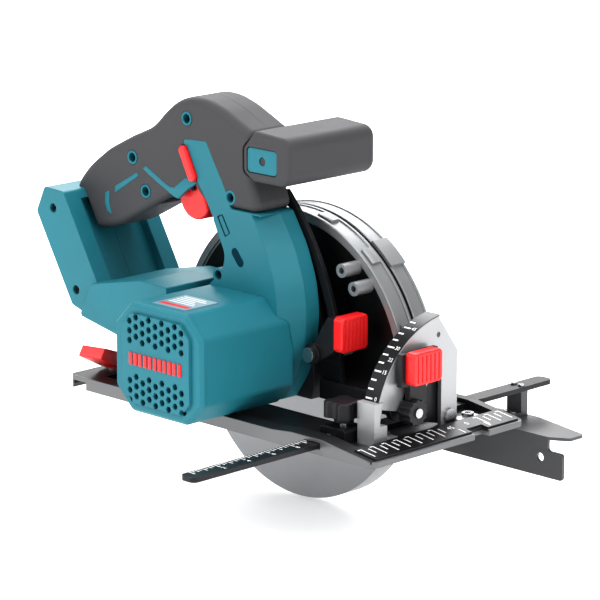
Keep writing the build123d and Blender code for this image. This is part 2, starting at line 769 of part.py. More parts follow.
def gear_outline(centre, teeth, phase):
    """A spur gear outline with straight-sided teeth, with backlash at the pitch circle."""
    pitch_radius = gear_module * teeth / 2
    step = 360 / teeth
    points = []
    for tooth in range(teeth):
        middle = phase + tooth * step
        points.append(turned(centre, pitch_radius - gear_module * 1.15, middle - step * 0.36))
        points.append(turned(centre, pitch_radius + gear_module * 0.75, middle - step * 0.11))
        points.append(turned(centre, pitch_radius + gear_module * 0.75, middle + step * 0.11))
        points.append(turned(centre, pitch_radius - gear_module * 1.15, middle + step * 0.36))
    return flat(*points)


def driven_gear():
    gear = gear_outline(spindle_centre, gear_teeth, mesh_angle)
    gear -= Pos(*spindle_centre) * Circle(spindle_radius)
    return slab_y(gear, gear_far - gear_face, gear_far)


def motor_shaft():
    """The motor shaft, with the pinion cut on its front end."""
    phase = mesh_angle + 180 + 180 / pinion_teeth
    shaft = slab_y(gear_outline(motor_centre, pinion_teeth, phase), gear_far - gear_face, gear_far)
    return shaft + rod_y(*motor_centre, motor_shaft_radius, motor_near + 8, gear_far - gear_face + 0.01)


def rotor_core():
    core = rod_y(*motor_centre, 12.5, motor_near + 25, handle_near - 12)
    return core - rod_y(*motor_centre, motor_shaft_radius, motor_near, handle_near)


def cooling_fan():
    """The fan: a hub, a back disc and blades."""
    fan = rod_y(*motor_centre, 6, -66, -56) + rod_y(*motor_centre, 22, -58, -56)
    for blade in range(11):
        vane = Pos(*motor_centre) * Rot(0, 0, blade * 360 / 11) * Pos(13.5, 0) * Rectangle(16, 1.2)
        fan += slab_y(vane, -66, -57.9)
    return fan - rod_y(*motor_centre, motor_shaft_radius, -70, -50)


def stator():
    """The six-pole stator with its windings."""
    ring = Pos(*motor_centre) * (Circle(25) - Circle(21))
    for pole in range(6):
        ring += Pos(*motor_centre) * Rot(0, 0, 60 * pole) * Pos(18.2, 0) * Rectangle(9.0, 8.0)
    ring -= Pos(*motor_centre) * Circle(13.2)
    return slab_y(ring, motor_near + 26, handle_near - 13)


# ---------------------------------------------------------------- gearbox
def gear_housing():
    """The cast gearbox with the blade snout in front and the depth-pivot arm behind."""
    outline = Pos(*spindle_centre) * Circle(38) + Pos(*motor_centre) * Circle(22)
    outline = slab_y(outline, gearbox_near, guard_wall_near) & block(-60, 60, -40, 0, 10, 90)
    arm = flat((-30, 10), (-30, 34), (-88, 30), (-108, 27), (-108, 13), (-88, 17))
    housing = outline + slab_y(arm, arm_near, guard_wall_near)
    housing += rod_y(*depth_pivot, 7.5, arm_near, -11.3)
    housing += rod_y(*spindle_centre, snout_radius, guard_wall_near - 0.01, snout_end)
    housing -= rod_y(*spindle_centre, gear_radius + 2, gearbox_near + 3.5, -17)
    housing -= rod_y(*motor_centre, pinion_radius + 2, gearbox_near - 1, -17)
    housing -= rod_y(*spindle_centre, front_bearing_radius, -15, -5)
    housing -= rod_y(*spindle_centre, spindle_radius + 2.5, gearbox_near + 2, -5)
    housing -= rod_y(*spindle_centre, rear_bearing_radius, gearbox_near - 1, gearbox_near + 4)
    housing -= rod_x(lock_pin_y, spindle_height, lock_pin_radius + running_clearance, gear_radius, 60)
    return housing - rod_y(*depth_pivot, depth_pin_radius + running_clearance, -40, 0)


def bearings():
    """The ball bearings of the spindle and of the motor shaft, as rings."""
    return [
        ring_y(*spindle_centre, front_bearing_radius, spindle_radius + running_clearance, -15, -7.5),
        ring_y(
            *spindle_centre, rear_bearing_radius, spindle_radius + running_clearance,
            gearbox_near, gearbox_near + 3.6),
        ring_y(*motor_centre, motor_bearing_radius, motor_shaft_radius + running_clearance, -50, -45),
        ring_y(
            *motor_centre, motor_bearing_radius, motor_shaft_radius + running_clearance,
            motor_near + 9, motor_near + 14),
    ]


# ---------------------------------------------------------------- body shells, grip and housings
def motor_outline(inset):
    centre_x, centre_z = motor_middle
    half_w = motor_width / 2
    half_h = motor_height / 2
    c = motor_chamfer
    points = [
        (half_w, half_h - c), (half_w - c, half_h), (-half_w + c, half_h), (-half_w, half_h - c),
        (-half_w, -half_h + c), (-half_w + c, -half_h), (half_w - c, -half_h), (half_w, -half_h + c),
    ]
    shape = rounded([(centre_x + x, centre_z + z) for x, z in points], 5)
    return offset(shape, -inset) if inset else shape


def column_outline():
    """The teal body beside the guard and the front column that rises to the grip."""
    return flowing([
        (-40, 24, 6), (-27, 9, 6), (22, 9, 6), (34, 27), (40.5, 46), (42.5, 66), (40, 86), (32, 107),
        (19.5, 127, 3), (-6.5, 127, 3), (-11.5, 139), (-21, 154), (-28, 166, 2), (-48.5, 165, 2),
        (-46, 157), (-36.7, 141), (-26, 126.6), (-18, 110), (-11.5, 98),
        (-14, 88), (-27, 76, 4), (-40, 72, 2),
    ], 60)


def grip_outline():
    """The grey hand grip, from the battery shoe over the hump to the front handle."""
    return flowing([
        (-152, 110, 6), (-149, 124), (-138, 136), (-120, 149), (-98, 160), (-78, 168.5), (-67, 179),
        (-56, 187.5), (-43, 192), (-29, 192), (-14, 187.5), (11, 176, 5), (11, 146, 5), (19, 127, 5),
        (-15, 127, 5), (-36, 129, 5), (-52, 131, 6), (-66, 124), (-79, 117), (-98, 107), (-112, 100),
        (-130, 96, 8),
    ], 60)


def shoe_outline():
    """The battery shoe's near face: a long block that leans back, with bevelled ends."""
    return flowing([
        (-167, 105, 3), (-159, 122, 3), (-141, 121, 3), (-108, 64, 4), (-121, 45, 3), (-134, 49, 3)
    ], 4)


def bridge_outline():
    """The web between the battery shoe and the motor housing."""
    return flowing([(-40, 28, 1), (-40, 76, 1), (-64, 76.5, 8), (-110, 67, 3), (-121, 45, 2), (-80, 37)], 30)


def shoe_recess():
    """The shallow pocket in the shoe's front face, between its side rims."""
    return flat((-144, 113), (-134, 117), (-103, 65), (-113, 59))


def shoe_slot():
    """The pocket that the battery slides into, open to the rear."""
    return flat((-172, 108), slot_floor[0], slot_floor[1], (-141, 50))


def capsule(start, end, radius):
    """A straight slot with round ends between two points."""
    length = math.dist(start, end)
    across = ((end[1] - start[1]) / length * radius, (start[0] - end[0]) / length * radius)
    band = flat(
        (start[0] + across[0], start[1] + across[1]), (end[0] + across[0], end[1] + across[1]),
        (end[0] - across[0], end[1] - across[1]), (start[0] - across[0], start[1] - across[1]))
    return band + Pos(*start) * Circle(radius) + Pos(*end) * Circle(radius)


def trigger_room():
    """The pocket in the grip and column for the trigger and its switch."""
    reach = trigger_half_width + 1.5
    pocket = block(-74, -30, parting_y - reach, parting_y + reach, 104, 146)
    notch = flat(
        (-59, 100), (-59, 121), (-57.4, 126.5), (-53.2, 126.8), (-45.2, 133.8), (-38.5, 138.6),
        (-33, 133), (-22, 120), (-22, 100))
    return pocket + slab_y(notch, handle_near - 1, handle_far + 1)


def lock_button_room():
    """The pocket that the lock-off button slides in."""
    outline = capsule(lock_button_low, lock_button_high, lock_button_radius + part_gap)
    return slab_y(outline, handle_near - 1, handle_near + 13)


def screw_holes(places, face_y, recess):
    """Recesses and clearance holes for the screws of the near shell."""
    holes = [rod_y(x, z, screw_recess_radius, face_y - 1, face_y + recess) for x, z in places]
    return holes + [rod_y(x, z, screw_hole_radius, face_y, parting_y + 1) for x, z in places]


def near_column():
    """The motor-side half of the column as a full block, its front drawn in towards the near face."""
    upright = slab_y(column_outline(), handle_near, parting_y)
    kept = flat((-60, 0), (10, 0), (10, 126), (60, 126), (60, 175), (-60, 175))
    drawn_in = Pos(-front_draft, 0) * column_outline() + kept
    depth = parting_y - handle_near
    slanted = extrude(
        Plane.XZ.offset(-handle_near) * drawn_in, amount=math.hypot(front_draft, depth),
        dir=(front_draft, depth, 0))
    return upright & slanted


def column_skin(column_y):
    """The column's solid and hollow on one side of the parting face."""
    solid, hollow = body_skin(parting_y, column_outline(), column_y, housing_wall)
    if column_y < parting_y:
        solid = near_column()
        hollow &= Pos(-front_draft, 0, 0) * hollow
    return solid, hollow


def body_skin(y_split, outline, y_outer, wall):
    """The solid and the hollow of one moulded region, from the parting face outwards."""
    inward = 1 if y_outer > y_split else -1
    solid = slab_y(outline, *sorted((y_split, y_outer)))
    hollow = slab_y(offset(outline, -wall), *sorted((y_split - inward, y_outer - inward * wall)))
    return solid, hollow


def body_shell(column_y, grip_y, shoe_y, bridge_y):
    """One half of the moulded body: column, grip core, battery shoe and rear bridge."""
    regions = [
        column_skin(column_y),
        body_skin(parting_y, offset(grip_outline(), -grip_skin), grip_y, housing_wall),
        body_skin(parting_y, bridge_outline(), bridge_y, housing_wall),
    ]
    shell = slab_y(shoe_outline(), *sorted((parting_y, shoe_y)))
    for solid, _ in regions:
        shell += solid
    for _, hollow in regions:
        shell -= hollow
    inward = 1 if shoe_y > parting_y else -1
    shell -= slab_y(shoe_recess(), *sorted((parting_y - inward, shoe_y - inward * shoe_rim)))
    shell -= slab_y(shoe_slot(), *sorted((parting_y - inward, shoe_y - inward * (shoe_rim - 4))))
    return shell - trigger_room() - slab_y(handle_section(), front_handle_near, front_handle_far)


def body_shell_right():
    """The motor-side half, with its screw bosses and the hole that the motor looks through."""
    shell = body_shell(handle_near, handle_near + grip_skin, shoe_near, parting_y - 40)
    for x, z in column_screws:
        shell += rod_y(x, z, screw_boss_radius, handle_near, parting_y)
    for x, z in grip_screws:
        shell += rod_y(x, z, screw_boss_radius, handle_near + 0.2, parting_y)
    shell -= lock_button_room()
    shell -= rod_y(*motor_centre, 26, handle_near - 1, handle_near + 8)
    shell -= rod_y(*motor_centre, motor_bearing_radius, handle_near - 1, parting_y + 1)
    holes = screw_holes(column_screws + grip_screws, handle_near, 5)
    for hole in holes + screw_holes(shoe_screws, shoe_near, 4):
        shell -= hole
    return shell


def body_shell_left():
    """The blade-side half, tapped for the body screws."""
    shell = body_shell(gearbox_near, handle_far - grip_skin, shoe_far, arm_near - 0.3)
    bosses = [(place, gearbox_near - 1) for place in column_screws]
    bosses += [(place, handle_far - grip_skin - 1) for place in grip_screws]
    for (x, z), end in bosses:
        shell += rod_y(x, z, screw_boss_radius - 1, parting_y, end)
        shell -= rod_y(x, z, 1.45, parting_y - 1, end - 2)
    for x, z in shoe_screws:
        shell -= rod_y(x, z, 1.45, parting_y - 1, parting_y + 9)
    guide_room = block(-14, 60, gearbox_near, 30, 60, front_handle_bottom)
    return shell - guide_room - rod_y(*motor_centre, motor_bearing_radius, -50, -30)


def handle_grip(y_outer):
    """One half of the soft grip, moulded over the body's core."""
    grip = slab_y(grip_outline(), *sorted((parting_y, y_outer)))
    outer_face = grip.faces().filter_by(Axis.Y).sort_by(Axis.Y)[0 if y_outer < parting_y else -1]
    grip = fillet(outer_face.outer_wire().edges(), grip_edge)
    inward = 1 if y_outer > parting_y else -1
    core_y = y_outer - inward * grip_skin
    grip -= slab_y(offset(grip_outline(), -grip_skin), *sorted((parting_y - inward, core_y)))
    grip -= slab_y(column_outline(), *sorted((parting_y - inward, y_outer + inward)))
    grip -= slab_y(shoe_outline(), *sorted((parting_y - inward, y_outer + inward)))
    grip -= slab_y(handle_section(), front_handle_near, front_handle_far)
    return grip - trigger_room()


def handle_grip_right():
    grip = handle_grip(handle_near) - lock_button_room()
    for x, z in grip_screws + column_screws[:1]:
        grip -= rod_y(x, z, screw_boss_radius, handle_near - 1, parting_y)
    return grip


def handle_grip_left():
    return handle_grip(handle_far) - block(-14, 60, gearbox_near, 30, 60, front_handle_bottom)


def handle_section():
    """The front handle's outline: its rear top corner leans forward."""
    rear, front = front_handle_rear, front_handle_front
    bottom, top = front_handle_bottom, front_handle_top
    return flowing([
        (rear, bottom + 5), (rear + 9, bottom), (front, bottom, 8), (front, top - 2, 8), (rear + 10, top, 4),
        (rear, top - 11)
    ], 5)


def front_handle():
    """The cross bar that the second hand holds."""
    bar = slab_y(handle_section(), front_handle_near, front_handle_far)
    bar = fillet(bar.faces().sort_by(Axis.Y)[-1].outer_wire().edges(), handle_end_round)
    bar = fillet(bar.faces().sort_by(Axis.Y)[0].outer_wire().edges(), 2.5)
    return bar - slab_y(handle_inset_outline(part_gap), front_handle_near - 1, front_handle_near + 2.5)


def handle_inset_outline(clearance):
    half_w = handle_inset_width / 2 + clearance
    half_h = handle_inset_height / 2 + clearance
    x, z = handle_inset_centre
    return rounded([
        (x - half_w, z - half_h), (x + half_w, z - half_h), (x + half_w, z + half_h), (x - half_w, z + half_h)
    ], 2.5)


def front_handle_inset():
    """The end cap screwed into the front handle."""
    cap = slab_y(handle_inset_outline(0), front_handle_near + 0.5, front_handle_near + 2.5)
    x, z = handle_inset_centre
    return cap - rod_y(x, z, 2.6, front_handle_near, front_handle_near + 2)


def motor_housing():
    """The eight-sided can around the motor."""
    can_end = handle_near + 10
    can = slab_y(motor_outline(0), motor_near + 6, can_end)
    can -= slab_y(motor_outline(housing_wall), motor_near + 5, can_end + 1)
    can -= block(-60, motor_axis_x, handle_near, can_end + 1, 0, 90)
    return can - near_column()


def vent_hole_places():
    """Centres of the hexagonal air holes: two staggered fields, above and below the middle band."""
    pitch = 6.0
    places = []
    for field_z in (61.5, 24.5):
        for column in range(-4, 5):
            for row in (-1, 0, 1):
                stagger = pitch / 2 if column % 2 else 0
                z = field_z + row * pitch + stagger - pitch / 4
                if abs(z - field_z) < pitch * 1.35:
                    places.append((-1.5 + column * pitch * 0.95, z))
    return places


def vent_cover():
    """The end cover of the motor housing, pierced for cooling air."""
    cover = slab_y(motor_outline(0), motor_near + 2, motor_near + 6)
    cover = chamfer(cover.faces().sort_by(Axis.Y)[0].outer_wire().edges(), 1.9)
    raised = rounded([(-31, 23), (-23, 15), (20, 15), (28, 23), (28, 63), (20, 71), (-23, 71), (-31, 63)], 3)
    cover += slab_y(raised, motor_near, motor_near + 2.01)
    cover -= slab_y(offset(motor_outline(0), -5), motor_near + 3, motor_near + 7)
    seat = motor_bearing_radius
    cover += ring_y(*motor_centre, seat + 2.5, seat, motor_near + 2.5, motor_near + 14)
    holes = Sketch() + [Pos(*place) * RegularPolygon(2.2, 6) for place in vent_hole_places()]
    return cover - slab_y(holes, motor_near - 1, motor_near + 3.1)


def terminal_outline(inset):
    """A rectangle that lies on the battery slot's sloping floor; inset is along and across it."""
    along = (slot_floor[1][0] - slot_floor[0][0], slot_floor[1][1] - slot_floor[0][1])
    length = math.hypot(*along)
    ux, uz = along[0] / length, along[1] / length
    first = length * 0.2 + inset[0]
    last = length * 0.8 - inset[0]
    low, high = inset[1], 8.0 + inset[1]
    return flat(*[
        (slot_floor[0][0] + ux * a + uz * b, slot_floor[0][1] + uz * a - ux * b)
        for a, b in ((first, low), (last, low), (last, high), (first, high))
    ])


def terminal_block():
    """The battery terminals' black carrier on the floor of the battery slot."""
    carrier = slab_y(terminal_outline((0, 0)), parting_y - 18, parting_y + 18)
    for contact in battery_terminals():
        carrier -= contact
    return carrier


def battery_terminals():
    """The blade contacts that the battery plugs on to."""
    contact = terminal_outline((8, 4))
    return [slab_y(contact, parting_y + y - 0.5, parting_y + y + 0.5) for y in (-13, -4, 4, 13)]


def controller_board():
    """The motor controller inside the rear bridge."""
    board = block(-92, -50, -72, -30, 52, 53.6)
    return board + [block(-86 + 12 * i, -79 + 12 * i, -66, -56, 53.6, 60) for i in range(3)]


def rating_label():
    """The label on top of the motor housing."""
    top = motor_middle[1] + motor_height / 2
    near, far = motor_near + 9, motor_near + 37
    outline = rounded([(-14, near), (15, near), (15, far), (-14, far)], 1)
    return slab_z(outline, top, top + 0.4)


def housing_screws():
    """The cross-head screws of the body halves and the battery shoe."""
    places = column_screws + grip_screws
    screws = [screw_along("-y", (x, handle_near + 5, z), 2.6, 2, 1.4, 13) for x, z in places]
    screws += [screw_along("-y", (x, shoe_near + 4, z), 2.6, 2, 1.4, 36) for x, z in shoe_screws]
    x, z = handle_inset_centre
    return screws + [rod_y(x, z, 2.4, front_handle_near + 1, front_handle_near + 2)]


def switch_body():
    """The trigger switch inside the grip, and the pin that the trigger swings on."""
    switch = block(-59, -39, parting_y - 5, parting_y + 5, 147, 161)
    reach = trigger_half_width + 1.5
    return [switch, rod_y(*trigger_pivot, trigger_pin_radius, parting_y - reach, parting_y + reach)]


# ---------------------------------------------------------------- controls on the head
def trigger():
    outline = flowing([
        (-58, 126, 2), (-55.5, 120), (-51, 115.5), (-45.5, 114), (-40, 114.3), (-34.5, 117.3), (-32, 121),
        (-34, 128), (-37.5, 135, 3), (-42, 138.2, 3), (-48, 137.5, 3), (-54, 132)
    ], 12)
    body = slab_y(outline, parting_y - trigger_half_width, parting_y + trigger_half_width)
    body = fillet(body.faces().sort_by(Axis.Y)[0].edges() + body.faces().sort_by(Axis.Y)[-1].edges(), 1.8)
    bore = trigger_pin_radius + running_clearance
    reach = trigger_half_width + 1
    return body - rod_y(*trigger_pivot, bore, parting_y - reach, parting_y + reach)


def lock_off_button():
    outline = capsule(lock_button_low, lock_button_high, lock_button_radius)
    button = slab_y(outline, handle_near - lock_button_proud, handle_near + 8)
    return fillet(button.faces().sort_by(Axis.Y)[0].edges(), 1.2)


def spindle_lock_button():
    """The push pin in the front of the gearbox that stops the spindle for a blade change."""
    y, z = lock_pin_y, spindle_height
    pin = rod_x(y, z, lock_pin_radius, gear_radius + 4.5, 42)
    return pin + rod_x(y, z, lock_pin_radius + 1.8, 42, 46.5)


def depth_clamp_bolt():
    """The bolt of the depth clamp, from the guard's boss out through the lever."""
    bolt = rod_y(depth_clamp_x, depth_clamp_z, clamp_bolt_radius, -47, guard_wall_near + 1)
    return bolt + rod_y(depth_clamp_x, depth_clamp_z, 4.6, -50, -47)


def depth_lever_hub():
    """The black hub and arm of the depth lock lever."""
    x, z = depth_clamp_x, depth_clamp_z
    hub = rod_y(x, z, 6.3, -46.6, depth_guide_near - 3.4)
    arm = flat((x - 2, z + 4), (x + 3, z - 5), (x + 17, z + 4), (x + 17, z + 24), (x + 11, z + 24))
    hub += slab_y(arm, -44, depth_guide_near - 3.4)
    return hub - rod_y(x, z, clamp_bolt_radius + running_clearance, -60, 0)


def depth_lever_pad():
    return Pos(depth_clamp_x + 17, parting_y + 10, depth_clamp_z + 14.5) * lever_pad(23, 22, 7, 6)


# ---------------------------------------------------------------- every piece by name
PIECES = {
    "base_plate": base_plate,
    "front_scale_plate": front_scale_plate,
    "quadrant_plate": quadrant_plate,
    "quadrant_foot": quadrant_foot,
    "rear_pivot_bracket": rear_pivot_bracket,
    "front_tilt_pin": front_tilt_pin,
    "rear_tilt_pin": rear_tilt_pin,
    "guide_holder": guide_holder,
    "base_screws": base_screws,
    "guide_bar": guide_bar,
    "guide_post": guide_post,
    "guide_fence": guide_fence,
    "guide_rivets": guide_rivets,
    "guide_knob": guide_knob,
    "knob_screw": knob_screw,
    "rear_clamp_lever": rear_clamp_lever,
    "tilt_bracket_front": tilt_bracket_front,
    "tilt_bracket_rear": tilt_bracket_rear,
    "depth_guide": depth_guide,
    "depth_pivot_pin": depth_pivot_pin,
    "bevel_clamp_bolt": bevel_clamp_bolt,
    "bevel_lever_hub": bevel_lever_hub,
    "bevel_lever_pad": bevel_lever_pad,
    "upper_guard_inner": upper_guard_inner,
    "upper_guard_outer": upper_guard_outer,
    "guard_screws": guard_screws,
    "gear_housing": gear_housing,
    "bearings": bearings,
    "stator": stator,
    "controller_board": controller_board,
    "body_shell_right": body_shell_right,
    "body_shell_left": body_shell_left,
    "handle_grip_right": handle_grip_right,
    "handle_grip_left": handle_grip_left,
    "front_handle": front_handle,
    "front_handle_inset": front_handle_inset,
    "motor_housing": motor_housing,
    "vent_cover": vent_cover,
    "terminal_block": terminal_block,
    "battery_terminals": battery_terminals,
    "rating_label": rating_label,
    "housing_screws": housing_screws,
    "switch_body": switch_body,
    "depth_clamp_bolt": depth_clamp_bolt,
    "saw_blade": saw_blade,
    "spindle": spindle,
    "inner_flange": inner_flange,
    "outer_flange": outer_flange,
    "blade_bolt": blade_bolt,
    "driven_gear": driven_gear,
    "motor_shaft": motor_shaft,
    "rotor_core": rotor_core,
    "cooling_fan": cooling_fan,
    "lower_guard": lower_guard,
    "guard_lever": guard_lever,
    "trigger": trigger,
    "lock_off_button": lock_off_button,
    "spindle_lock_button": spindle_lock_button,
    "depth_lever_hub": depth_lever_hub,
    "depth_lever_pad": depth_lever_pad,
}


def main():
    os.makedirs("parts", exist_ok=True)
    for name, make in PIECES.items():
        made = make()
        shape = Compound(children=made) if isinstance(made, list) else made
        export_step(shape, f"parts/{name}.step")
        print(name, round(shape.volume))


main()
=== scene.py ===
import math

import bmesh
import bpy
from mathutils import Matrix, Vector


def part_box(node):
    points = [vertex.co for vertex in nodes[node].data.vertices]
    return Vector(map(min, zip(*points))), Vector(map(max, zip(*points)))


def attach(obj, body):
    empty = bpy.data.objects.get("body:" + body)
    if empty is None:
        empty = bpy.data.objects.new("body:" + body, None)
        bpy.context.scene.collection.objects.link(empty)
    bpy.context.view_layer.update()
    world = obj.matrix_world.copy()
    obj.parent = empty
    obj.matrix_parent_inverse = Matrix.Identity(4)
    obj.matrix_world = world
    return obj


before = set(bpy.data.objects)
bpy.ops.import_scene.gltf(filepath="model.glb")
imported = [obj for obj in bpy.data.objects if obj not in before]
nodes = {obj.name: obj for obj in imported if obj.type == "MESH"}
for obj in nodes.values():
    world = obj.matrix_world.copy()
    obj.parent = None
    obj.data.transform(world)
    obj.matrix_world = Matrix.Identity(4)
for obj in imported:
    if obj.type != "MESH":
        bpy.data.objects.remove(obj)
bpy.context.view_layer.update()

MM = 0.001


# ---------------------------------------------------------------- finishes

class Finish:
    """A procedural material under construction, with short ways to add and join its nodes."""

    def __init__(self, name):
        self.material = bpy.data.materials.new(name)
        self.material.use_nodes = True
        self.tree = self.material.node_tree
        self.shader = self.tree.nodes["Principled BSDF"]
        self.place = self.tree.nodes.new("ShaderNodeTexCoord").outputs["Object"]

    def node(self, kind, links=None, **settings):
        made = self.tree.nodes.new("ShaderNode" + kind)
        for key, value in settings.items():
            if hasattr(made, key):
                setattr(made, key, value)
            else:
                made.inputs[key.replace("_", " ").title()].default_value = value
        for socket, source in (links or {}).items():
            self.tree.links.new(source, made.inputs[socket])
        return made

    def noise(self, scale, detail=3.0):
        return self.node("TexNoise", {"Vector": self.place}, scale=scale, detail=detail).outputs["Fac"]

    def ramp(self, source, stops):
        made = self.node("ValToRGB", {"Fac": source})
        points = made.color_ramp.elements
        while len(points) < len(stops):
            points.new(0.5)
        for point, (place, colour) in zip(points, stops):
            point.position = place
            point.color = (*colour, 1)
        return made.outputs["Color"]

    def span(self, source, low, high, start=0.3, end=0.7):
        made = self.node("MapRange", {"Value": source})
        for socket, value in zip(("From Min", "From Max", "To Min", "To Max"), (start, end, low, high)):
            made.inputs[socket].default_value = value
        return made.outputs["Result"]

    def mix(self, amount, first, second):
        made = self.node("Mix", {0: amount, 6: first}, data_type="RGBA")
        if isinstance(second, tuple):
            made.inputs[7].default_value = (*second, 1)
        else:
            self.tree.links.new(second, made.inputs[7])
        return made.outputs[2]

    def math(self, operation, first, second=0.0):
        made = self.node("Math", {0: first}, operation=operation)
        if isinstance(second, float):
            made.inputs[1].default_value = second
        else:
            self.tree.links.new(second, made.inputs[1])
        return made.outputs["Value"]

    def times(self, first, second):
        return self.math("MULTIPLY", first, second)

    def axes(self):
        split = self.node("SeparateXYZ", {"Vector": self.place})
        return split.outputs["X"], split.outputs["Y"], split.outputs["Z"]

    def into(self, socket, source):
        self.tree.links.new(source, self.shader.inputs[socket])


def shade(colour, amount):
    return tuple(channel * amount for channel in colour)


def make_finish(name, colour, roughness, metallic=0.0, grain=900, grain_height=0.05, mottle=0.06,
                edge=0.5, wear=None, specular=0.5, painted=None):
    """A moulded, painted or machined surface: slight mottling, a fine grain and softened edges.

    Painted is a colour and the function that finds where it lies.
    """
    made = Finish(name)
    cloudy = made.noise(22, 4.0)
    base = made.ramp(cloudy, [(0.3, shade(colour, 1 - mottle)), (0.7, shade(colour, 1 + mottle))])
    metal = None
    if painted:
        paint, where = painted
        mask = where(made)
        coat_colour = made.ramp(cloudy, [(0.3, shade(paint, 1 - mottle)), (0.7, shade(paint, 1 + mottle))])
        base = made.mix(mask, base, coat_colour)
        metal = made.span(mask, metallic, 0.0, 0.0, 1.0)
    fine = made.noise(grain, 2.0)
    rounding = made.node("Bevel", samples=4)
    rounding.inputs["Radius"].default_value = edge * MM
    if wear:
        sharp = made.node("VectorMath", {0: rounding.outputs["Normal"]}, operation="DOT_PRODUCT")
        geometry = made.node("NewGeometry")
        made.tree.links.new(geometry.outputs["Normal"], sharp.inputs[1])
        rub = made.span(sharp.outputs["Value"], 1.0, 0.0, 0.72, 0.985)
        patch = made.span(made.noise(140, 5.0), 0.0, 1.0, 0.42, 0.62)
        base = made.mix(made.times(rub, patch), base, wear)
    made.into("Base Color", base)
    made.into("Roughness", made.span(cloudy, roughness - 0.05, roughness + 0.06))
    bump = made.node("Bump", {"Height": fine, "Normal": rounding.outputs["Normal"]})
    bump.inputs["Strength"].default_value = grain_height
    bump.inputs["Distance"].default_value = 0.2 * MM
    made.into("Normal", bump.outputs["Normal"])
    if metal:
        made.into("Metallic", metal)
    else:
        made.shader.inputs["Metallic"].default_value = metallic
    made.shader.inputs["Specular IOR Level"].default_value = specular
    return made.material


def guard_wall_paint(made):
    """The fixed guard's flat near wall, inside its rim and behind its bosses."""
    x, y, z = made.axes()
    height = made.math("ADD", z, -0.024)
    reach = made.math("ADD", made.times(x, x), made.times(height, height))
    inside = made.math("LESS_THAN", reach, 0.0922 ** 2)
    behind = made.math("GREATER_THAN", y, -0.0148)
    return made.times(inside, behind)


def base_paint(made):
    """The base's top, inside its machined edges."""
    x, y, z = made.axes()
    above = made.math("GREATER_THAN", z, 0.0025)
    near = made.math("GREATER_THAN", y, -0.0912)
    front = made.math("LESS_THAN", x, 0.1425)
    return made.times(made.times(above, near), front)


TEAL = (0.019, 0.165, 0.208)
FINISHES = {
    "teal_plastic": make_finish("teal_moulding", TEAL, 0.42, grain=1600, grain_height=0.25, edge=0.9,
                                specular=0.22),
    "grey_grip": make_finish("soft_grip_rubber", (0.052, 0.052, 0.056), 0.62, grain=1500,
                             grain_height=0.5, edge=1.2, specular=0.3),
    "red_plastic": make_finish("red_moulding", (0.78, 0.012, 0.014), 0.38, grain=1800, grain_height=0.12,
                               edge=0.8),
    "black_plastic": make_finish("black_moulding", (0.012, 0.012, 0.014), 0.4, grain=1500,
                                 grain_height=0.25, edge=0.6, specular=0.3),
    "cast_base": make_finish("base_casting", (0.15, 0.152, 0.156), 0.4, 0.55, grain=700,
                             grain_height=0.15, edge=0.5, specular=0.25,
                             painted=((0.016, 0.016, 0.018), base_paint)),
    "fence_steel": make_finish("fence_steel", (0.06, 0.06, 0.063), 0.36, 0.2, grain=1300,
                               grain_height=0.2, edge=0.35, wear=(0.22, 0.22, 0.23)),
    "plain_casting": make_finish("plain_casting", (0.42, 0.425, 0.435), 0.42, 0.65, grain=700,
                                 grain_height=0.2, edge=0.6),
    "black_steel": make_finish("black_coated_steel", (0.014, 0.014, 0.016), 0.34, 0.25, grain=1300,
                               grain_height=0.2, edge=0.35, wear=(0.16, 0.16, 0.17),
                               specular=0.3),
    "plated_steel": make_finish("plated_steel", (0.46, 0.47, 0.49), 0.3, 0.95, grain=1200,
                                grain_height=0.06, edge=0.35),
    "bright_steel": make_finish("bright_steel", (0.4, 0.4, 0.415), 0.24, 1.0, grain=900,
                                grain_height=0.03, edge=0.3),
    "blade_steel": make_finish("blade_steel", (0.3, 0.3, 0.312), 0.3, 1.0, grain=1200,
                               grain_height=0.05, edge=0.2),
    "cast_guard": make_finish("guard_casting", (0.29, 0.295, 0.303), 0.36, 0.6, grain=800,
                              grain_height=0.2, edge=0.6, specular=0.25,
                              painted=((0.004, 0.004, 0.0045), guard_wall_paint)),
    "gear_casting": make_finish("gear_casting", (0.05, 0.052, 0.058), 0.4, 0.6, grain=800,
                                grain_height=0.3, edge=0.8),
    "lower_guard_metal": make_finish("lower_guard_metal", (0.27, 0.275, 0.285), 0.42, 0.6, grain=700,
                                     grain_height=0.05, edge=0.5),
    "stator_core": make_finish("stator_core", (0.16, 0.1, 0.06), 0.45, 0.7, edge=0.3),
    "circuit_board": make_finish("circuit_board", (0.01, 0.11, 0.05), 0.35, edge=0.2),
    "brass_contact": make_finish("brass_contact", (0.72, 0.46, 0.18), 0.25, 1.0, edge=0.2),
    "dark_screw": make_finish("dark_screw", (0.05, 0.05, 0.055), 0.32, 0.85, edge=0.25),
    "label_film": make_finish("label_film", (0.16, 0.28, 0.34), 0.3, edge=0.1),
    # teal_shadow is a dark, low-shine copy of the teal: painted shade for the grooves and the recess on the
    # column.
    "teal_shadow": make_finish("teal_groove_painted_shade", (0.002, 0.03, 0.045), 0.6, edge=0.2, specular=0.05),
    "white_marks": make_finish("white_marking", (0.85, 0.85, 0.84), 0.5, mottle=0.02, edge=0.05),
    # dark_gap is the dark seam line between the guard's halves, and painted shade at the bottom of the front
    # handle's hole.
    "dark_gap": make_finish("dark_gap", (0.008, 0.008, 0.009), 0.6, edge=0.1, specular=0.05),
}

NODE_FINISHES = {
    "guide_fence": "fence_steel", "guide_post": "fence_steel",
    "quadrant_plate": "plain_casting", "quadrant_foot": "plain_casting",
}

for name, cad in nodes.items():
    for index, old in enumerate(cad.data.materials):
        key = NODE_FINISHES.get(name) or next((slot for slot in FINISHES if old.name.startswith(slot)), None)
        if key is None:
            print("no finish for", name, old.name)
        else:
            cad.material_slots[index].link = "OBJECT"
            cad.material_slots[index].material = FINISHES[key]


# ---------------------------------------------------------------- making pieces

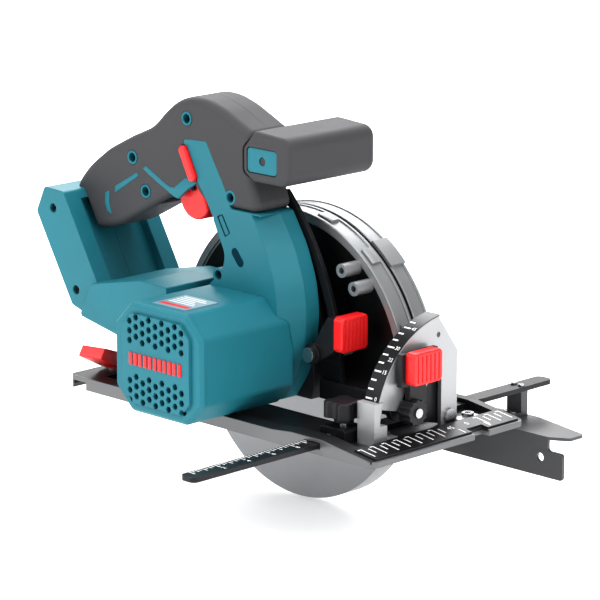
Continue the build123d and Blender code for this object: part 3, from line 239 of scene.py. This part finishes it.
def brick(mesh, low, high, turn=None):
    """A block between two corners, in millimetres, turned about its middle if a turn is given."""
    low, high = Vector(low), Vector(high)
    middle = Matrix.Translation((low + high) / 2 * MM)
    size = Matrix.Diagonal((*((high - low) * MM), 1))
    return bmesh.ops.create_cube(mesh, size=1, matrix=middle @ (turn or Matrix()) @ size)["verts"]


def section_sweep(mesh, axis, centre, profile, angles, steps=64):
    """A closed profile of (radius, place along the axis) pairs, swept round an X or a Y axis.

    Angles run from +Y to +Z about X, and from +X to +Z about Y.
    """
    first = math.radians(angles[0])
    if axis == "x":
        along, out, turn = Vector((1, 0, 0)), Vector((0, math.cos(first), math.sin(first))), (1, 0, 0)
    else:
        along, out, turn = Vector((0, 1, 0)), Vector((math.cos(first), 0, math.sin(first))), (0, -1, 0)
    middle = Vector(centre)
    corners = [mesh.verts.new((middle + out * radius + along * place) * MM) for radius, place in profile]
    face = mesh.faces.new(corners)
    bmesh.ops.spin(
        mesh, geom=[face, *face.edges, *corners], cent=middle * MM, axis=turn,
        angle=math.radians(angles[1] - angles[0]), steps=steps, use_merge=False,
    )


def strip(mesh, axis, centre, radii, span, angles, steps=64):
    """A ring sector of rectangular section."""
    (inner, outer), (low, high) = radii, span
    corners = [(inner, low), (outer, low), (outer, high), (inner, high)]
    section_sweep(mesh, axis, centre, corners, angles, steps)


def lettering(mesh, words, size, place, right, up):
    """Scale numbers, lying in the plane of two directions, as part of a mesh."""
    curve = bpy.data.curves.new("numbers", "FONT")
    curve.body = words
    curve.size = size * MM
    curve.extrude = 0.06 * MM
    curve.resolution_u = 3
    curve.align_x = curve.align_y = "CENTER"
    maker = bpy.data.objects.new("numbers", curve)
    bpy.context.collection.objects.link(maker)
    data = bpy.data.meshes.new_from_object(maker.evaluated_get(bpy.context.evaluated_depsgraph_get()))
    right, up = Vector(right).normalized(), Vector(up).normalized()
    turn = Matrix((right, up, right.cross(up))).transposed().to_4x4()
    data.transform(Matrix.Translation(Vector(place) * MM) @ turn)
    mesh.from_mesh(data)
    bpy.data.meshes.remove(data)
    bpy.data.objects.remove(maker)
    bpy.data.curves.remove(curve)


def plate(mesh, outline, low, high, edge=0.25):
    """A flat piece with an outline in X and Z, between two places along Y, with softened edges."""
    face = mesh.faces.new([mesh.verts.new(Vector((x, low, z)) * MM) for x, z in outline])
    grown = bmesh.ops.extrude_face_region(mesh, geom=[face])["geom"]
    moved = [item for item in grown if isinstance(item, bmesh.types.BMVert)]
    bmesh.ops.translate(mesh, verts=moved, vec=(0, (high - low) * MM, 0))
    rim = list(face.edges)
    bmesh.ops.bevel(mesh, geom=rim, offset=edge * MM, offset_type="OFFSET", affect="EDGES",
                    segments=2, profile=0.5, material=-1)


def tube_along(mesh, points, radius, sides=10):
    """A round bead that follows a line of points."""
    rings = []
    points = [Vector(point) for point in points]
    for index, point in enumerate(points):
        ahead = points[min(index + 1, len(points) - 1)] - points[max(index - 1, 0)]
        facing = ahead.to_track_quat("Z", "Y").to_matrix().to_4x4()
        ring = bmesh.ops.create_circle(
            mesh, segments=sides, radius=radius * MM, matrix=Matrix.Translation(point * MM) @ facing)
        rings.append(ring["verts"])
    for first, second in zip(rings, rings[1:]):
        edges = [edge for ring in (first, second) for edge in {e for v in ring for e in v.link_edges
                 if all(other in ring for other in e.verts)}]
        bmesh.ops.bridge_loops(mesh, edges=edges)
    for ring in (rings[0], rings[-1]):
        bmesh.ops.contextual_create(mesh, geom=ring)


def finished(name, mesh, body, finish, smooth_angle=32):
    """Put a mesh into the scene as a piece that rides on a body."""
    bmesh.ops.recalc_face_normals(mesh, faces=mesh.faces)
    data = bpy.data.meshes.new(name)
    mesh.to_mesh(data)
    mesh.free()
    for polygon in data.polygons:
        polygon.use_smooth = True
    data.set_sharp_from_angle(angle=math.radians(smooth_angle))
    data.materials.append(FINISHES[finish])
    piece = bpy.data.objects.new(name, data)
    bpy.context.collection.objects.link(piece)
    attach(piece, body)
    return piece


# ---------------------------------------------------------------- scales and marks

SPINDLE = (0, 0, 24)
TILT = (0, 0, 10)
FIRST_TICK = 161          # degrees round the tilt axis
GUARD_RIM = 97.3          # just inside the fixed guard's outside
GUARD_ARC = (4, 171)
GRIP_FACE = -60.15


def bevel_scale():
    """The black strip round the quadrant with a white line every five degrees."""
    backing = bmesh.new()
    strip(backing, "x", TILT, (63.9, 64.35), (108.2, 119.7), (97, 164.5))
    finished("bevel_scale_strip", backing, "base", "black_steel")
    marks = bmesh.new()
    for tick in range(11):
        angle = FIRST_TICK - 5 * tick
        long = 5.2 if tick % 3 == 0 else 4.2
        strip(marks, "x", TILT, (64.3, 64.46), (109, 109 + long), (angle - 0.45, angle + 0.45), 1)
    for degrees, words in ((0, "0"), (15, "15"), (22.5, "22"), (30, "30"), (45, "45")):
        angle = math.radians(FIRST_TICK - degrees)
        out = Vector((0, math.cos(angle), math.sin(angle)))
        lettering(marks, words, 3.6, Vector((116.8, 0, 10)) + out * 64.4, (1, 0, 0),
                  (0, math.sin(angle), -math.cos(angle)))
    finished("bevel_scale_marks", marks, "base", "white_marks")


def slope_z(x):
    """Height of the front scale plate's top: it falls from the base's rim to the floor's thickness."""
    rear, front, rear_z, front_z, plate_wall = 102, 144, 9.5, 3.5, 1.2
    return rear_z + (front_z - rear_z) * (x - rear) / (front - rear) + plate_wall


def front_scale():
    """The white graduations across the front plate, and its two cutting-line numbers."""
    marks = bmesh.new()
    fall = Vector((17, 0, slope_z(142) - slope_z(125))).normalized()
    lean = Matrix.Rotation(math.atan2(-fall.z, fall.x), 4, "Y")
    for number in range(25):
        y = -84 + 5 * number
        if -16 < y < 13:
            continue
        rear, front = (127, 139) if number % 2 == 0 else (128.5, 135)
        z = slope_z((rear + front) / 2) + 0.03
        brick(marks, (rear, y - 0.4, z - 0.06), (front, y + 0.4, z + 0.06), lean)
        if number % 2 == 0:
            brick(marks, (127, y - 2.6, slope_z(127.4) - 0.03), (127.8, y, slope_z(127.4) + 0.09), lean)
    for y, words in ((-11, "45"), (3.5, "0")):
        lettering(marks, words, 5.4, (131.5, y, slope_z(131.5) + 0.06), (0, 1, 0), -fall)
    for y in (-8, 14.5):
        brick(marks, (135, y - 0.4, slope_z(138) - 0.03), (141, y + 0.4, slope_z(138) + 0.09), lean)
    finished("front_scale_marks", marks, "base", "white_marks")


def guide_scale():
    """The ruled edge of the guide bar, with a number every twenty millimetres."""
    marks = bmesh.new()
    top = 7.0
    for number in range(58):
        y = -186 + 2.5 * number
        if number % 4 and number % 2:
            long = 2.6
        else:
            long = 5.2 if number % 4 == 0 else 3.6
        brick(marks, (89.4, y - 0.34, top - 0.05), (89.4 + long, y + 0.34, top + 0.07))
        if number % 8 == 0 and number:
            lettering(marks, str(number // 4), 4.6, (97.4, y, top + 0.03), (0, 1, 0), (-1, 0, 0))
    finished("guide_bar_marks", marks, "rip_guide", "white_marks")


def guard_details():
    """The raised lips and lugs round the fixed guard's rim, and the seam between its halves."""
    lips = bmesh.new()
    for low, high, proud in ((-15.2, -12.6, 1.0), (-3.4, -1.0, 0.9), (1.2, 3.2, 0.9), (12.0, 14.0, 0.8)):
        rise = GUARD_RIM + 0.1 + proud
        section_sweep(lips, "y", SPINDLE, [
            (GUARD_RIM, low), (rise - 0.4, low), (rise, low + 0.5), (rise, high - 0.5),
            (rise - 0.4, high), (GUARD_RIM, high)], GUARD_ARC, 96)
    for angle in (20, 51, 75, 120, 152):
        section_sweep(lips, "y", SPINDLE, [
            (GUARD_RIM, -11.6), (99.0, -11.2), (99.3, -10), (99.3, -5.4), (99.0, -4.2), (GUARD_RIM, -3.8)],
            (angle - 3.4, angle + 3.4), 8)
    finished("guard_rim_lips", lips, "saw_head", "cast_guard")
    seam = bmesh.new()
    strip(seam, "y", SPINDLE, (GUARD_RIM, 97.62), (-1.0, 1.2), GUARD_ARC, 96)
    finished("guard_seam", seam, "saw_head", "dark_gap")


def vent_trim():
    """A row of red bars on the raised band between the two fields of air holes."""
    bars = bmesh.new()
    for number in range(11):
        x = -1.5 + (number - 5) * 4.3
        brick(bars, (x - 1.3, -128.7, 39.2), (x + 1.3, -127.6, 46.8))
    finished("vent_band_bars", bars, "saw_head", "red_plastic")


def label_marks():
    """A red strip and plain white rules on the blank rating label."""
    low, high = (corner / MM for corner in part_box("rating_label"))
    top = high.z
    red = bmesh.new()
    brick(red, (low.x + 2, low.y + 4, top - 0.05), (high.x - 2, low.y + 7.5, top + 0.08))
    finished("label_strip", red, "saw_head", "red_plastic")
    rules = bmesh.new()
    for number in range(5):
        y = low.y + 11 + 3.2 * number
        brick(rules, (low.x + 3, y, top - 0.05), (high.x - 4 - 3 * (number % 3), y + 1.1, top + 0.06))
    finished("label_rules", rules, "saw_head", "white_marks")


def grip_accents():
    """The teal inlays of the grip, and the teal rims of its screw recesses."""
    beads = bmesh.new()
    for x, z in ((-45, 178), (-95, 147), (-83, 127)):
        section_sweep(beads, "y", (x, 0, z), [
            (3.0, GRIP_FACE + 1.2), (3.0, GRIP_FACE - 0.25), (3.35, GRIP_FACE - 0.4),
            (4.3, GRIP_FACE - 0.25), (4.5, GRIP_FACE + 1.2)], (0, 360), 32)
    bmesh.ops.remove_doubles(beads, verts=beads.verts, dist=0.00001)
    finished("grip_recess_rims", beads, "saw_head", "teal_plastic")
    inlays = bmesh.new()
    for outline in (
        [(-85.5, 141.3), (-79.4, 137.9), (-72, 134.3), (-64.7, 131.1), (-57.4, 127.5), (-53.2, 126.6),
         (-45.2, 133.5), (-37.0, 138.5), (-37.4, 141.5), (-46.8, 140.6), (-57.0, 133.2), (-61, 133.2),
         (-67.1, 135.5), (-74.4, 139.2), (-82.3, 143.3)],
        [(-112.2, 121.6), (-111.4, 126.5), (-91.1, 137.9), (-89.3, 136.1)],
        [(-121, 120.8), (-117, 122.9), (-117.6, 115.5), (-115.0, 107.5), (-119.4, 109.4), (-121.4, 114.5)],
    ):
        plate(inlays, outline, -60.35, -58)
    finished("grip_inlays", inlays, "saw_head", "teal_plastic")


def front_handle_screw_and_hole_shade():
    """A near-black disc at the bottom of the hole in the front handle's end cap: the screw there, darkened
    as painted shade in the hole.
    """
    low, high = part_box("front_handle_inset")
    middle = (low + high) / 2 / MM
    # The disc's near-black, shineless finish is painted shade for the hole as well as the screw's colour.
    screw = bmesh.new()
    section_sweep(screw, "y", (middle.x, 0, middle.z), [
        (0.02, low.y / MM + 0.9), (2.45, low.y / MM + 0.9), (2.45, low.y / MM + 1.4),
        (0.02, low.y / MM + 1.4)], (0, 360), 24)
    bmesh.ops.remove_doubles(screw, verts=screw.verts, dist=0.00001)
    finished("front_handle_screw_and_hole_shade", screw, "saw_head", "dark_gap")


def column_marks():
    """The moulded frame and the small oval recess on the column's near face, drawn in painted shade: dark
    beads along the frame's groove and a dark plate over the recess.
    """
    # Dark beads along the frame's outline: painted shade in its groove.
    frame_lines = bmesh.new()
    corners = [(-17.9, 120.7), (-14.1, 122.4), (-7.6, 111.8), (-11.3, 109.4)]
    tube_along(frame_lines, [(x, -60.0, z) for x, z in corners + corners[:1]], 0.45)
    finished("column_lines", frame_lines, "saw_head", "teal_shadow")
    # A dark plate standing slightly proud of the face: painted shade for the oval recess.
    recess = bmesh.new()
    upper, lower, half_width = Vector((-3.0, 100.6)), Vector((1.6, 95.0)), 2.9
    along = (upper - lower).normalized()
    across = Vector((along.y, -along.x))
    outline = []
    for centre, start in ((upper, 0), (lower, 180)):
        for step in range(9):
            angle = math.radians(start + 22.5 * step)
            outline.append(centre + (across * math.cos(angle) + along * math.sin(angle)) * half_width)
    plate(recess, outline, -60.2, -59.0)
    finished("column_recess", recess, "saw_head", "teal_shadow")


bevel_scale()
front_scale()
guide_scale()
guard_details()
vent_trim()
label_marks()
grip_accents()
front_handle_screw_and_hole_shade()
column_marks()


# ---------------------------------------------------------------- studio

floor_mesh = bmesh.new()
bmesh.ops.create_grid(floor_mesh, x_segments=8, y_segments=8, size=20)
bmesh.ops.translate(floor_mesh, vec=(0, 0, -0.068), verts=floor_mesh.verts)
floor_data = bpy.data.meshes.new("floor")
floor_mesh.to_mesh(floor_data)
floor = bpy.data.objects.new("floor", floor_data)
bpy.context.collection.objects.link(floor)
paper = Finish("studio_paper")
paper.into("Base Color", paper.ramp(paper.noise(3), [(0.3, (0.88, 0.88, 0.88)), (0.7, (0.91, 0.91, 0.91))]))
paper.shader.inputs["Roughness"].default_value = 0.9
paper.shader.inputs["Emission Color"].default_value = (1, 1, 1, 1)
paper.shader.inputs["Emission Strength"].default_value = 0.32
floor.data.materials.append(paper.material)


def area_light(name, place, aim, size, power):
    data = bpy.data.lights.new(name, "AREA")
    data.shape = "RECTANGLE"
    data.size, data.size_y = size
    data.energy = power
    lamp = bpy.data.objects.new(name, data)
    lamp.location = place
    lamp.rotation_euler = (Vector(aim) - Vector(place)).to_track_quat("-Z", "Y").to_euler()
    bpy.context.collection.objects.link(lamp)


area_light("key", (-0.7, -1.7, 1.3), (0, 0, 0.05), (1.0, 1.0), 26)
area_light("front", (1.9, -0.2, 1.1), (0, 0, 0.05), (0.9, 1.2), 17)
area_light("top", (0.2, 0.1, 1.9), (0, 0, 0.0), (1.8, 1.8), 25)
area_light("backdrop", (-3.0, 3.0, 2.6), (-3.0, 3.0, 0), (5.0, 5.0), 380)

world = bpy.data.worlds.new("studio")
bpy.context.scene.world = world
world.use_nodes = True
world.node_tree.nodes["Background"].inputs["Color"].default_value = (1, 1, 1, 1)
world.node_tree.nodes["Background"].inputs["Strength"].default_value = 0.42

camera_data = bpy.data.cameras.new("camera")
camera_data.lens = 195.9
camera_data.sensor_width = 36
camera_data.clip_start = 0.1
camera = bpy.data.objects.new("camera", camera_data)
camera.location = (1.3978, -1.4047, 0.5369)
camera.rotation_euler = (math.radians(76.5), 0, math.radians(45))
bpy.context.collection.objects.link(camera)
bpy.context.scene.camera = camera
bpy.context.scene.view_settings.view_transform = "Standard"
bpy.context.scene.view_settings.look = "Medium High Contrast"
